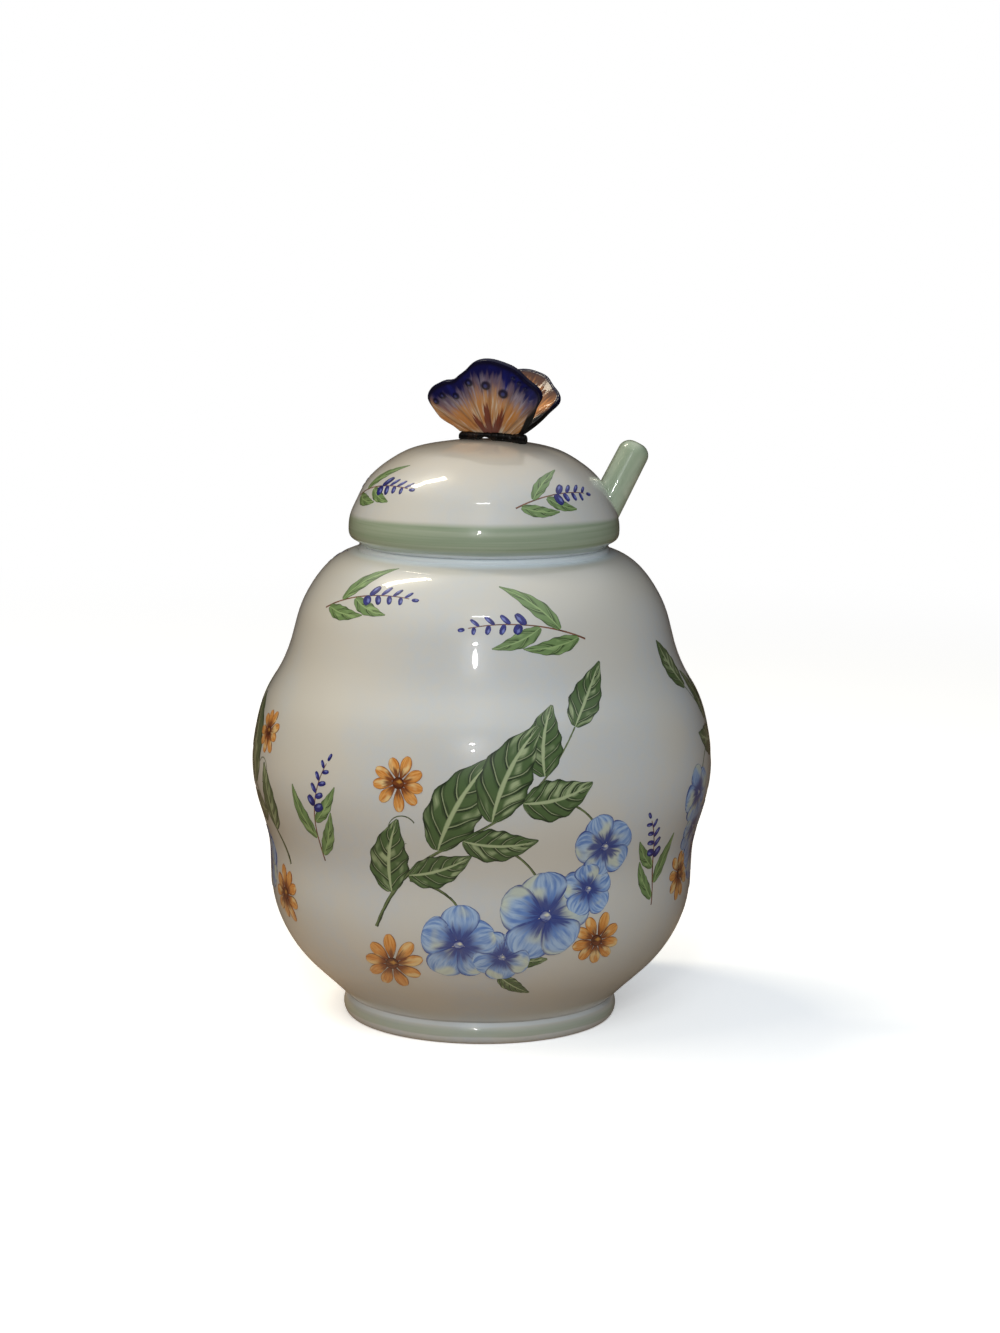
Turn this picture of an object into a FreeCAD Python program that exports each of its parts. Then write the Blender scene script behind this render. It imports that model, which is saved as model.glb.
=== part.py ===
import FreeCAD, Part
import math
import os

# Covered honey pot: a glazed pot in three soft rings on a foot, a domed lid that lifts off,
# a butterfly as the lid's knob, and a dipper that leans out through a notch in lid and mouth.
# Millimetres and degrees. +Z is up, the origin is the middle of the foot's underside, and +X
# points from the pot's axis to the notch.

# Pot
belly_radius = 50.0
shoulder_height = 102.5
neck_radius = 27.2
collar_height = 1.1
mouth_radius = 24.0
pot_wall = 3.3
rim_rounding = 0.7
throat_rounding = 1.8
shoulder_angle = 173.0  # heading of the outline where it ends at the neck

foot_radius = 30.0
foot_height = 4.7
foot_waist_radius = 29.2
foot_ring_width = 5.0
foot_flat_width = 3.8
foot_recess = 2.8
foot_inner_rounding = 1.0
foot_bottom_angle = 14.0
foot_top_angle = 117.0
foot_spring_angle = 42.0  # heading of the outline where it leaves the foot

floor_thickness = 4.0
floor_flat_radius = 26.0

# The pot's outline from foot to neck: shares of the shoulder's height, and of the way out to the
# belly's radius from the straight line between the foot's waist and the neck.
pot_outline_shares = [
    (0.084, 0.205),
    (0.132, 0.454),
    (0.195, 0.670),
    (0.278, 0.799),
    (0.380, 0.828),
    (0.463, 0.936),
    (0.546, 1.000),
    (0.629, 0.959),
    (0.698, 0.863),
    (0.751, 0.729),
    (0.815, 0.617),
    (0.873, 0.548),
    (0.932, 0.415),
    (0.976, 0.242),
]

# Lid
lid_radius = 29.3
lid_height = 22.6
lid_wall = 3.0
lid_seat_radius = 26.4
lid_rim_angle = 6.0
lid_flat_radius = 3.0  # the level patch in the middle of the lid's top
lid_inner_angle = 35.0
lid_ledge_height = 3.2
flange_gap = 0.5
flange_wall = 2.6
flange_depth = 4.0
flange_rounding = 0.8

# The lid's outline from its seat to its top: shares of the lid's height and radius.
lid_outline_shares = [
    (0.030, 0.930),
    (0.080, 0.986),
    (0.165, 1.000),
    (0.300, 0.984),
    (0.420, 0.943),
    (0.570, 0.885),
    (0.680, 0.817),
    (0.790, 0.712),
    (0.900, 0.560),
    (0.965, 0.354),
]
lid_turn_share = 0.42  # of the lid's height: where the inside of the dome turns to the flange

# Dipper
handle_radius = 3.8
handle_tip_radius = 3.45
handle_tip_rounding = 2.6
handle_taper_length = 26.0
handle_reach = 24.2  # along its axis, from the level of the collar's top to its tip
saddle_radius = 23.4  # from the pot's axis to the handle's axis, at the collar's top
saddle_gap = 0.3
notch_gap = 0.8
dipper_end_radius = 5.6
dipper_foot_radius = 24.3  # from the pot's axis to the centre of the dipper's round end
floor_gap = 0.3
dipper_head_radius = 10.2
dipper_head_length = 28.0
dipper_core_radius = 4.6
dipper_ring_count = 6
dipper_ring_share = 0.56  # of a ring's pitch that is solid
dipper_swell_shares = (0.14, 0.90)  # of a half circle: the stretch of it that the rings' radii follow
tenon_radius = 2.3
tenon_length = 6.0
tenon_gap = 0.05

# Butterfly
butterfly_turn = -38.0  # from +X to the way its head points
butterfly_offset = 1.8
butterfly_offset_angle = -23.0
insect_length = 15.6
insect_thickness = 3.4
insect_sink = 1.3  # how far its underside would lie below the lid's top
insect_arch_width = 3.9
insect_arch_height = 0.7
insect_arch_place = -1.5
insect_end_radius = 1.0
wing_span = 27.0
wing_height = 18.1
wing_thickness = 1.9
wing_cup_radius = 60.0
wing_edge_rounding = 0.6
wing_lean = 35.8  # of each wing to its own side
wing_roll = 9.5  # of both wings to the left
wing_root_rise = 1.8
wing_root_spread = 0.9

# The insect's outline from tail to head: shares of its length and of half its thickness.
insect_outline_shares = [
    (0.030, 0.700),
    (0.120, 0.840),
    (0.300, 0.920),
    (0.480, 1.000),
    (0.640, 1.000),
    (0.780, 0.840),
    (0.850, 0.760),
    (0.920, 0.860),
    (0.975, 0.600),
]

# A wing's outline, round from the back of its root: shares of its span, forward from the
# insect's middle, and of its height.
wing_outline_shares = [
    (-0.293, 0.000),
    (-0.360, 0.083),
    (-0.437, 0.155),
    (-0.485, 0.271),
    (-0.522, 0.420),
    (-0.481, 0.547),
    (-0.396, 0.635),
    (-0.311, 0.691),
    (-0.256, 0.707),
    (-0.211, 0.757),
    (-0.137, 0.840),
    (-0.063, 0.939),
    (-0.004, 0.983),
    (0.056, 1.000),
    (0.133, 0.989),
    (0.211, 0.950),
    (0.289, 0.890),
    (0.381, 0.735),
    (0.467, 0.575),
    (0.474, 0.497),
    (0.428, 0.375),
    (0.380, 0.243),
    (0.320, 0.100),
    (0.267, 0.000),
]

# How far a cut runs past the face that it opens.
overrun = 5.0

FORWARD = FreeCAD.Vector(1, 0, 0)
ACROSS = FreeCAD.Vector(0, 1, 0)
UP = FreeCAD.Vector(0, 0, 1)
ORIGIN = FreeCAD.Vector(0, 0, 0)

collar_top = shoulder_height + collar_height
floor_top = foot_recess + floor_thickness
lid_top = collar_top + lid_height
flange_radius = mouth_radius - flange_gap


def at(radius, height):
    """A point of the XZ plane: out from the axis, and up."""
    return FreeCAD.Vector(radius, 0, height)


def heading(degrees):
    """A direction in the XZ plane: 0 is outward, 90 is up."""
    angle = math.radians(degrees)
    return at(math.cos(angle), math.sin(angle))


def line(start, end):
    return Part.LineSegment(start, end).toShape()


def arc(start, middle, end):
    return Part.Arc(start, middle, end).toShape()


def quarter(centre, radius, first, last):
    """A round stretch about a centre, from one heading to another."""
    middle = (first + last) / 2
    return arc(*[centre + heading(a) * radius for a in (first, middle, last)])


def corner(before, tip, after, radius):
    """Start, middle and end of the arc that rounds the corner at tip."""
    to_before = (before - tip).normalize()
    to_after = (after - tip).normalize()
    half = to_before.getAngle(to_after) / 2
    run = radius / math.tan(half)
    inward_way = (to_before + to_after).normalize()
    centre = tip + inward_way * (radius / math.sin(half))
    return tip + to_before * run, centre - inward_way * radius, tip + to_after * run


def curve_through(points, first_angle, last_angle):
    """A smooth outline through points, with its heading set at both ends."""
    curve = Part.BSplineCurve()
    curve.interpolate(
        Points=points,
        InitialTangent=heading(first_angle),
        FinalTangent=heading(last_angle),
        Scale=False,
    )
    return curve


def inside(curve, point, wall):
    """The point one wall's thickness in from an outline that is drawn upwards."""
    along = curve.tangent(curve.parameter(point))[0]
    return point + at(-along.z, along.x).normalize() * wall


def lathe(edges, axis=UP):
    """Turns a closed outline about an axis through the origin."""
    face = Part.Face(Part.Wire(Part.__sortEdges__(edges)))
    return face.revolve(ORIGIN, axis, 360)


# The dipper's axis runs from the centre of its round end, over the pot's floor, past the mouth.
dipper_low = at(-dipper_foot_radius, floor_top + floor_gap + dipper_end_radius)
dipper_pass = at(saddle_radius, collar_top)
dipper_axis = (dipper_pass - dipper_low).normalize()
dipper_lean = math.degrees(math.atan2(dipper_axis.x, dipper_axis.z))
dipper_start = dipper_low - dipper_axis * dipper_end_radius
dipper_span = (dipper_pass - dipper_start).Length


def on_dipper_axis(shape):
    """Lays a shape that stands on the origin along the dipper's axis."""
    shape.rotate(ORIGIN, ACROSS, dipper_lean)
    shape.translate(dipper_start)
    return shape


def handle_way(radius, opens_down):
    """The room a wall leaves for the handle: a bore along the dipper's axis that is open upwards,
    so that the handle drops into the pot's saddle, or downwards, so that the lid lifts over it."""
    low = dipper_pass - dipper_axis * (dipper_span / 2)
    high = dipper_pass + dipper_axis * (handle_reach + overrun)
    bore = Part.makeCylinder(radius, (high - low).Length, low, dipper_axis)
    far = -overrun if opens_down else lid_top + lid_height
    side = Part.makePolygon([low, high, at(high.x, far), at(low.x, far), low])
    slot = Part.Face(side).extrude(ACROSS * (2 * radius))
    slot.translate(-ACROSS * radius)
    return bore.fuse(slot)


def pot_point(height_share, width_share):
    straight = foot_waist_radius + (neck_radius - foot_waist_radius) * height_share
    return at(straight + width_share * (belly_radius - straight), height_share * shoulder_height)


def pot_walls():
    """The pot's outer curve, foot to neck, and its inner one, floor to throat."""
    start = at(foot_waist_radius, foot_height)
    end = at(neck_radius, shoulder_height)
    body = [pot_point(height_share, width_share) for height_share, width_share in pot_outline_shares]
    outer = curve_through([start] + body + [end], foot_spring_angle, shoulder_angle)
    floor_edge = at(floor_flat_radius, floor_top)
    throat = at(mouth_radius + throat_rounding, shoulder_height - pot_wall)
    inner_body = [inside(outer, point, pot_wall) for point in body]
    inner = curve_through([floor_edge] + inner_body + [throat], 0, shoulder_angle)
    return outer, inner


def pot_body():
    outer, inner = pot_walls()
    foot_waist, neck = outer.StartPoint, outer.EndPoint
    floor_edge, throat = inner.StartPoint, inner.EndPoint
    ring_inner = foot_radius - foot_ring_width
    ring_flat = ring_inner + foot_flat_width
    recess = at(ring_inner, foot_recess)
    recess_arc = corner(at(0, foot_recess), recess, at(ring_inner, 0), foot_inner_rounding)
    foot_swell = curve_through(
        [at(ring_flat, 0), at(foot_radius, foot_height / 2), foot_waist],
        foot_bottom_angle,
        foot_top_angle,
    )
    collar_edge = at(neck_radius, collar_top)
    mouth_edge = at(mouth_radius, collar_top)
    collar_arc = corner(neck, collar_edge, mouth_edge, rim_rounding)
    mouth_arc = corner(collar_edge, mouth_edge, at(mouth_radius, 0), rim_rounding)
    throat_centre = throat + UP * throat_rounding
    throat_top = throat_centre - FORWARD * throat_rounding
    edges = [
        line(at(0, foot_recess), recess_arc[0]),
        arc(*recess_arc),
        line(recess_arc[2], at(ring_inner, 0)),
        line(at(ring_inner, 0), at(ring_flat, 0)),
        foot_swell.toShape(),
        outer.toShape(),
        line(neck, collar_arc[0]),
        arc(*collar_arc),
        line(collar_arc[2], mouth_arc[0]),
        arc(*mouth_arc),
        line(mouth_arc[2], throat_top),
        quarter(throat_centre, throat_rounding, 180, 270),
        inner.toShape(),
        line(floor_edge, at(0, floor_top)),
        line(at(0, floor_top), at(0, foot_recess)),
    ]
    return lathe(edges).cut(handle_way(handle_radius + saddle_gap, False))


def lid_points():
    return [at(r * lid_radius, collar_top + h * lid_height) for h, r in lid_outline_shares]


def lid_curve():
    seat = at(lid_seat_radius, collar_top)
    flat = at(lid_flat_radius, lid_top)
    return curve_through([seat] + lid_points() + [flat], lid_rim_angle, 180)


def lid_lump():
    """The lid's outer form as one solid lump, to shape the underside of what stands on it."""
    outer = lid_curve()
    edges = [
        outer.toShape(),
        line(outer.EndPoint, at(0, lid_top)),
        line(at(0, lid_top), at(0, collar_top)),
        line(at(0, collar_top), outer.StartPoint),
    ]
    return lathe(edges)


def lid():
    outer = lid_curve()
    turn_height = collar_top + lid_turn_share * lid_height
    upper = [inside(outer, point, lid_wall) for point in lid_points() if point.z > turn_height]
    inner_radius = flange_radius - flange_wall
    ledge = at(inner_radius, collar_top + lid_ledge_height)
    ceiling = at(lid_flat_radius, lid_top - lid_wall)
    inner = curve_through([ledge] + upper + [ceiling], lid_inner_angle, 180)
    bottom = collar_top - flange_depth
    outer_edge = at(flange_radius, bottom)
    inner_edge = at(inner_radius, bottom)
    outer_arc = corner(at(flange_radius, collar_top), outer_edge, inner_edge, flange_rounding)
    inner_arc = corner(outer_edge, inner_edge, ledge, flange_rounding)
    edges = [
        line(at(lid_seat_radius, collar_top), at(flange_radius, collar_top)),
        line(at(flange_radius, collar_top), outer_arc[0]),
        arc(*outer_arc),
        line(outer_arc[2], inner_arc[0]),
        arc(*inner_arc),
        line(inner_arc[2], ledge),
        inner.toShape(),
        line(ceiling, at(0, ceiling.z)),
        line(at(0, ceiling.z), at(0, lid_top)),
        line(at(0, lid_top), outer.EndPoint),
        outer.toShape(),
    ]
    return lathe(edges).cut(handle_way(handle_radius + notch_gap, True))


def dipper_handle():
    """A rod that tapers to a rounded tip, with a tenon that is luted into the head."""
    tip = dipper_span + handle_reach
    shoulder = dipper_head_length
    taper = tip - handle_taper_length
    tip_centre = at(handle_tip_radius - handle_tip_rounding, tip - handle_tip_rounding)
    tenon_end = shoulder - tenon_length
    edges = [
        line(at(0, tenon_end), at(tenon_radius, tenon_end)),
        line(at(tenon_radius, tenon_end), at(tenon_radius, shoulder)),
        line(at(tenon_radius, shoulder), at(handle_radius, shoulder)),
        line(at(handle_radius, shoulder), at(handle_radius, taper)),
        line(at(handle_radius, taper), at(handle_tip_radius, tip_centre.z)),
        quarter(tip_centre, handle_tip_rounding, 0, 90),
        line(at(tip_centre.x, tip), at(0, tip)),
        line(at(0, tip), at(0, tenon_end)),
    ]
    return on_dipper_axis(lathe(edges))


def dipper_ring(low, depth, radius):
    """One ring of the head, with a rounded edge."""
    half = depth / 2
    edges = [
        line(at(0, low), at(radius - half, low)),
        quarter(at(radius - half, low + half), half, -90, 90),
        line(at(radius - half, low + depth), at(0, low + depth)),
        line(at(0, low + depth), at(0, low)),
    ]
    return lathe(edges)


def dipper_head():
    """Rings on a core, whose radii follow an egg's outline, over a round end."""
    round_end = lathe([
        quarter(at(0, dipper_end_radius), dipper_end_radius, -90, 0),
        line(at(dipper_end_radius, dipper_end_radius), at(0, dipper_end_radius)),
        line(at(0, dipper_end_radius), at(0, 0)),
    ])
    ringed_length = dipper_head_length - dipper_end_radius
    head = round_end.fuse(Part.makeCylinder(dipper_core_radius, ringed_length, at(0, dipper_end_radius)))
    pitch = ringed_length / dipper_ring_count
    depth = pitch * dipper_ring_share
    first, last = dipper_swell_shares
    for i in range(dipper_ring_count):
        low = dipper_end_radius + i * pitch
        share = first + (last - first) * (i + 1) / (dipper_ring_count + 1)
        radius = dipper_head_radius * math.sqrt(math.sin(math.pi * share))
        head = head.fuse(dipper_ring(low, depth, radius))
    socket_low = dipper_head_length - tenon_length - tenon_gap
    socket = Part.makeCylinder(tenon_radius + tenon_gap, tenon_length + overrun, at(0, socket_low))
    return on_dipper_axis(head.cut(socket))


def on_lid(shape):
    """Takes a shape made at the origin, head along +X, to its place on the lid's top."""
    shape.rotate(ORIGIN, UP, butterfly_turn)
    angle = math.radians(butterfly_offset_angle)
    aside = FreeCAD.Vector(math.cos(angle), math.sin(angle), 0) * butterfly_offset
    shape.translate(aside + UP * lid_top)
    return shape


def insect_lump():
    """The butterfly's body before it is arched: blunt at the tail and drawn in at the neck."""
    half_length = insect_length / 2
    half_depth = insect_thickness / 2
    profile = [at(s * insect_length - half_length, d * half_depth) for s, d in insect_outline_shares]
    tail = at(-half_length, insect_end_radius)
    front = at(half_length, insect_end_radius)
    edges = [
        curve_through([tail] + profile + [front], 90, -90).toShape(),
        line(front, at(half_length, 0)),
        line(at(half_length, 0), at(-half_length, 0)),
        line(at(-half_length, 0), tail),
    ]
    solid = lathe(edges, FORWARD)
    solid.translate(UP * (half_depth - insect_sink))
    return solid


def insect():
    """The butterfly's body, arched under its middle."""
    half_arch = insect_arch_width / 2
    arch_radius = (half_arch ** 2 + insect_arch_height ** 2) / (2 * insect_arch_height)
    arch_centre = FreeCAD.Vector(insect_arch_place, -insect_thickness / 2, insect_arch_height - arch_radius)
    return insect_lump().cut(Part.makeCylinder(arch_radius, insect_thickness, arch_centre, ACROSS))


def wing(side):
    """A wing that is cupped on its inner face: cut from a ball's shell, upright over the insect,
    and leaned out to its own side, which is -1 for the left and 1 for the right."""
    points = [at(s * wing_span, h * wing_height) for s, h in wing_outline_shares]
    edge = Part.BSplineCurve()
    edge.interpolate(Points=points)
    outline = Part.Wire([edge.toShape(), line(points[-1], points[0])])
    blank = Part.Face(outline).extrude(ACROSS * wing_cup_radius)
    blank.translate(-ACROSS * (wing_cup_radius / 2))
    centre = FreeCAD.Vector(0, side * wing_cup_radius, wing_height / 2)
    ball = Part.makeSphere(wing_cup_radius + wing_thickness / 2, centre)
    hollow = Part.makeSphere(wing_cup_radius - wing_thickness / 2, centre)
    solid = blank.common(ball.cut(hollow))
    rim = [e for e in solid.Edges if e.Length > wing_span]
    solid = solid.makeFillet(wing_edge_rounding, rim)
    solid.translate(ACROSS * (-side * wing_root_spread))
    solid.rotate(ORIGIN, FORWARD, side * wing_lean - wing_roll)
    solid.translate(UP * wing_root_rise)
    own_side = Part.makeBox(2 * wing_span, wing_cup_radius, 2 * wing_height)
    own_side.translate(FreeCAD.Vector(-wing_span, -max(0, side) * wing_cup_radius, -wing_height / 2))
    return solid.common(own_side)


def build():
    os.makedirs("parts", exist_ok=True)
    dome = lid_lump()
    root = on_lid(insect_lump()).fuse(dome)
    right = on_lid(wing(1)).cut(root)
    left = on_lid(wing(-1)).cut(root)
    parts = {
        "pot_body": pot_body(),
        "lid": lid(),
        "butterfly_body": on_lid(insect()).cut(dome),
        "butterfly_right_wing": right,
        "butterfly_left_wing": left,
        "dipper_handle": dipper_handle(),
        "dipper_head": dipper_head(),
    }
    for name, shape in parts.items():
        state = "valid" if shape.isValid() else "INVALID"
        print(name, len(shape.Solids), "solid", state, round(shape.Volume, 1), "mm3")
        solid = shape.Solids[0] if len(shape.Solids) == 1 else shape
        solid.exportStep("parts/" + name + ".step")
    print("dipper leans", round(dipper_lean, 2), "degrees; axis", dipper_axis, "from", dipper_start)


build()
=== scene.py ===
# %% [markdown]
# # A covered honey pot, glazed and painted
# The pot, its domed lid, the butterfly that is the lid's knob and the dipper come as measured
# solids, each riding on the body that moves it. This lesson dresses them: it glazes the turned
# walls, brushes bands on them, lays painted sprays and sprigs on them, and sculpts the
# butterfly's wings. Every length is in metres, in the same frame as the solids.

# %% Load the measured solids
import bpy
import math
import random
import numpy as np
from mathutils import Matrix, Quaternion, Vector
from mathutils.bvhtree import BVHTree


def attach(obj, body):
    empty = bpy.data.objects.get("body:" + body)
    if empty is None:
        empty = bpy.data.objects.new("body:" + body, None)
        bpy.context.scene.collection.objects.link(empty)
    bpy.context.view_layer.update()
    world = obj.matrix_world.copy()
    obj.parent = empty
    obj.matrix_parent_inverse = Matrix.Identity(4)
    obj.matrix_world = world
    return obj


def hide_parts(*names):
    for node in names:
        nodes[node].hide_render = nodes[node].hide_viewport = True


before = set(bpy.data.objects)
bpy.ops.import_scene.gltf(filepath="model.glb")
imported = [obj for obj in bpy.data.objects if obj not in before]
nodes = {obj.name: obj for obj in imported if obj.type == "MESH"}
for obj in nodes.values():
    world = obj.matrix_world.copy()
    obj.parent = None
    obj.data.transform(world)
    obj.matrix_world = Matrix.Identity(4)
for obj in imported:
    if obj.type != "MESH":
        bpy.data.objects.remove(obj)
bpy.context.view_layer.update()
mm = 0.001
print("solids:", ", ".join(sorted(nodes)))

# %% [markdown]
# ## The camera
# The picture is taken from a little above the shoulder, close enough to look down on the collar
# and to see the foot from above. A long lens at 0.7 m gives the same foreshortening. The camera
# stands a few millimetres aside and leans by half a degree, as a hand-held one does.

# %% Set up the camera
camera_distance = 0.700
camera_height = 0.1909
camera_azimuth = math.radians(-15.0)
camera_pitch = math.radians(9.26)
camera_roll = math.radians(0.58)
camera_aside = 2.6 * mm
camera_lens = 87.93


def put_in_scene(name, data):
    """An object of that name in the scene, for a camera, a lamp or a mesh."""
    thing = bpy.data.objects.new(name, data)
    bpy.context.scene.collection.objects.link(thing)
    return thing


sideways = Vector((math.cos(camera_azimuth), math.sin(camera_azimuth), 0))
backwards = Vector((math.sin(camera_azimuth), -math.cos(camera_azimuth), 0))
camera = put_in_scene("camera", bpy.data.cameras.new("camera"))
camera.data.lens = camera_lens
camera.location = backwards * camera_distance + sideways * camera_aside + Vector((0, 0, camera_height))
camera.rotation_euler = (math.pi / 2 - camera_pitch, -camera_roll, camera_azimuth)
bpy.context.scene.camera = camera
print("camera at", [round(c, 3) for c in camera.location])

# %% [markdown]
# ## The light
# Glaze is a mirror over a dull body, so a lamp can show twice: as light on the body and as a
# shape in the gloss. Two broad soft lamps light the body and are kept out of the gloss, as if
# they were bounced off a wall. Four small lamps are there for their shapes: a tube high on the
# left, a short tube above the camera, and two round lamps beside it, one over the other.

# %% Hang the lamps
lamp_aim = Vector((0, 0, 70.0 * mm))
neutral = (1.0, 1.0, 1.0)
soft_lamps = [
    # name, to the right, towards the camera, up, distance, width, height, watts, colour
    ("left_soft", -0.80, 0.22, 0.62, 1.1, 0.9, 0.9, 4.6, (1.0, 0.88, 0.70)),
    ("front_soft", 0.20, 0.86, 0.56, 1.3, 1.1, 0.9, 7.9, (0.86, 0.94, 1.0)),
]
shape_lamps = [
    # the same, and the roll in degrees and the shape
    ("tube", -0.46, -0.15, 0.84, 0.9, 0.080, 0.34, 2.3, (1.0, 0.90, 0.70), 20.0),
    ("short_tube", -0.02, 0.69, 0.78, 1.0, 0.15, 0.014, 0.20, neutral),
    ("upper_lamp", -0.07, 0.92, 0.380, 0.9, 0.036, 0.022, 0.42, neutral, 0.0, "ELLIPSE"),
    ("lower_lamp", -0.07, 0.95, 0.300, 0.9, 0.036, 0.022, 0.42, neutral, 0.0, "ELLIPSE"),
]


def hang_lamp(name, right, near, up, distance, width, height, watts, tint, roll=0.0,
              shape="RECTANGLE"):
    """A lamp that faces the pot from a direction given as the camera sees it, rolled about that
    direction."""
    lamp = put_in_scene(name, bpy.data.lights.new(name, "AREA"))
    lamp.data.shape = shape
    lamp.data.size = width
    lamp.data.size_y = height
    lamp.data.energy = watts
    lamp.data.color = tint
    way = (sideways * right + backwards * near + Vector((0, 0, up))).normalized()
    lamp.location = lamp_aim + way * distance
    facing = (-way).to_track_quat("-Z", "Y") @ Quaternion((0, 0, 1), math.radians(roll))
    lamp.rotation_euler = facing.to_euler()
    return lamp


for lamp in soft_lamps:
    hang_lamp(*lamp).visible_glossy = False
for lamp in shape_lamps:
    hang_lamp(*lamp)
print(len(soft_lamps), "soft lamps,", len(shape_lamps), "that show in the glaze")

# %% [markdown]
# ## Mixing finishes
# Every glaze and paint here is one Principled shader fed by a few procedural nodes. Node trees
# are long to write by hand, so three small classes carry them. The first is a tone: a value on
# its way through the nodes, which is added and multiplied like a number, so that marks which meet
# and overlap read like arithmetic. The larger of two tones, written with a bar, joins two marks.

# %% Write colours and tones
def colour(red, green, blue):
    """A colour as a paint chart gives it, 0 to 255, as the linear light that shaders use."""
    shares = [c / 255 for c in (red, green, blue)]
    return (*[s / 12.92 if s < 0.04045 else ((s + 0.055) / 1.055) ** 2.4 for s in shares], 1.0)


def worked(operation):
    """A sign of arithmetic between tones, as the Math node that does the same."""
    return lambda tone, *others: tone.recipe.maths(operation, tone, *others)


class Tone:
    """A value on its way through the nodes, written like a number."""

    __add__ = worked("ADD")
    __sub__ = worked("SUBTRACT")
    __mul__ = worked("MULTIPLY")
    __pow__ = worked("POWER")
    __abs__ = worked("ABSOLUTE")
    __or__ = worked("MAXIMUM")

    def __init__(self, recipe, socket):
        self.recipe = recipe
        self.socket = socket

    def edge(self, low, high):
        """0 below low, 1 above high, and soft between. With low above high it falls instead."""
        made = self.recipe.add("MapRange", interpolation_type="SMOOTHSTEP")
        return self.recipe.fed(made, self, low, high)


print("a colour chart's 128 grey is", round(colour(128, 128, 128)[0], 3), "in linear light")

# %% [markdown]
# A recipe is the node tree of a material or of a world. It gives the usual nodes short names,
# such as a cloudy noise or coats of colour laid over a ground.

# %% Name the usual nodes
class Recipe:
    """The nodes of a material or of a world, with short calls for the usual ones."""

    def __init__(self, owner):
        owner.use_nodes = True
        self.tree = owner.node_tree

    def add(self, kind, **settings):
        made = self.tree.nodes.new("ShaderNode" + kind)
        for setting, value in settings.items():
            setattr(made, setting, value)
        return made

    def put(self, socket, value):
        """Links a tone or a node's output to a socket, or writes a plain number or colour on it."""
        value = value.socket if isinstance(value, Tone) else value
        if isinstance(value, bpy.types.NodeSocket):
            self.tree.links.new(value, socket)
        else:
            socket.default_value = value

    def fed(self, made, *values):
        """The first output of a node whose first inputs are fed with values."""
        for socket, value in zip(made.inputs, values):
            self.put(socket, value)
        return Tone(self, made.outputs[0])

    def maths(self, operation, *values):
        return self.fed(self.add("Math", operation=operation), *values)

    def layered(self, ground, *coats):
        """A ground with coats over it. Each coat is a share and a colour: a share of 0 leaves
        what is under it bare, and 1 covers it."""
        for share, paint in coats:
            made = self.add("Mix", data_type="RGBA")
            for index, value in ((0, share), (6, ground), (7, paint)):
                self.put(made.inputs[index], value)
            ground = made.outputs[2]
        return ground

    def place(self, across=1.0, along=1.0, up=1.0):
        """Where a point of the object is, with each direction stretched by its own number."""
        made = self.add("VectorMath", operation="MULTIPLY")
        made.inputs[1].default_value = (across, along, up)
        return self.fed(made, self.add("TexCoord").outputs["Object"])

    def parts(self, vector):
        """The three numbers of a place or of a colour."""
        made = self.add("SeparateXYZ")
        self.put(made.inputs[0], vector)
        return [Tone(self, output) for output in made.outputs]

    def distance(self, where):
        made = self.add("VectorMath", operation="LENGTH")
        self.put(made.inputs[0], where)
        return Tone(self, made.outputs["Value"])

    def noise(self, scale, detail=2.0, wander=0.0, where=None):
        """A cloudy noise in the object's own space, over another place or over three tones."""
        made = self.add("TexNoise")
        if where is None:
            where = self.place()
        elif isinstance(where, tuple):
            where = self.fed(self.add("CombineXYZ"), *where)
        for socket, value in (("Vector", where), ("Scale", scale), ("Detail", detail),
                              ("Distortion", wander)):
            self.put(made.inputs[socket], value)
        return Tone(self, made.outputs[0])

    def surface(self, share, first, second):
        """Ends the recipe in two shaders, mixed by a share."""
        mixed = self.fed(self.add("MixShader"), share, first.outputs[0], second.outputs[0])
        ends = [node for node in self.tree.nodes if node.bl_idname.startswith("ShaderNodeOutput")]
        self.put(ends[0].inputs["Surface"], mixed)


print("recipes know coats, places, distances and noise")

# %% [markdown]
# A finish is the recipe of one material. Each glaze and paint below reads as a list of coats, as
# a potter would note it: the ground first, and then what was laid over it and where.

# %% Make a finish
glass_ior = 1.5
body_roughness = 0.30


class Finish(Recipe):
    """One material. It ends in a Principled shader, unless surface() gives it another end."""

    def __init__(self, name):
        self.material = bpy.data.materials.new(name)
        super().__init__(self.material)
        self.shader = self.tree.nodes["Principled BSDF"]

    def coloured(self, ground, *coats):
        self.put(self.shader.inputs["Base Color"], self.layered(ground, *coats))

    def relief(self, height, depth, strength):
        """Lets a height pattern of that depth tilt the shading of the body and of its coat."""
        made = self.add("Bump")
        made.inputs["Strength"].default_value = strength
        made.inputs["Distance"].default_value = depth
        self.put(made.inputs["Height"], height)
        for socket in ("Normal", "Coat Normal"):
            self.put(self.shader.inputs[socket], made.outputs[0])

    def glassy(self, roughness=body_roughness, coat_roughness=0.02, coat=1.0, shine=0.5):
        """The clear glass over the colour, and how much the body under it shines by itself."""
        for socket, value in (("Roughness", roughness), ("Coat Roughness", coat_roughness),
                              ("Coat Weight", coat), ("Coat IOR", glass_ior),
                              ("Specular IOR Level", shine)):
            self.shader.inputs[socket].default_value = value


def dress(piece, finish):
    """Gives a piece one finish."""
    piece.data.materials.clear()
    piece.data.materials.append(finish.material)


print("clear glass with an index of", glass_ior, "lies over each glaze")

# %% [markdown]
# ## The room
# The floor is a pale sheet that keeps the pot's shadow. Further off it turns plain white, and so
# is what lies behind it. Light Path tells the shader who looks: the camera and the rays that
# glaze mirrors see white, and the other rays see the dimmer world that fills the shadows. Near
# the pot only the camera sees the sheet whitened. The light that it throws back on the pot, and
# its image in the gloss, are those of the brown table under it. The scene uses Blender's Standard
# view, which lets a white of 1 come out as plain white.

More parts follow.
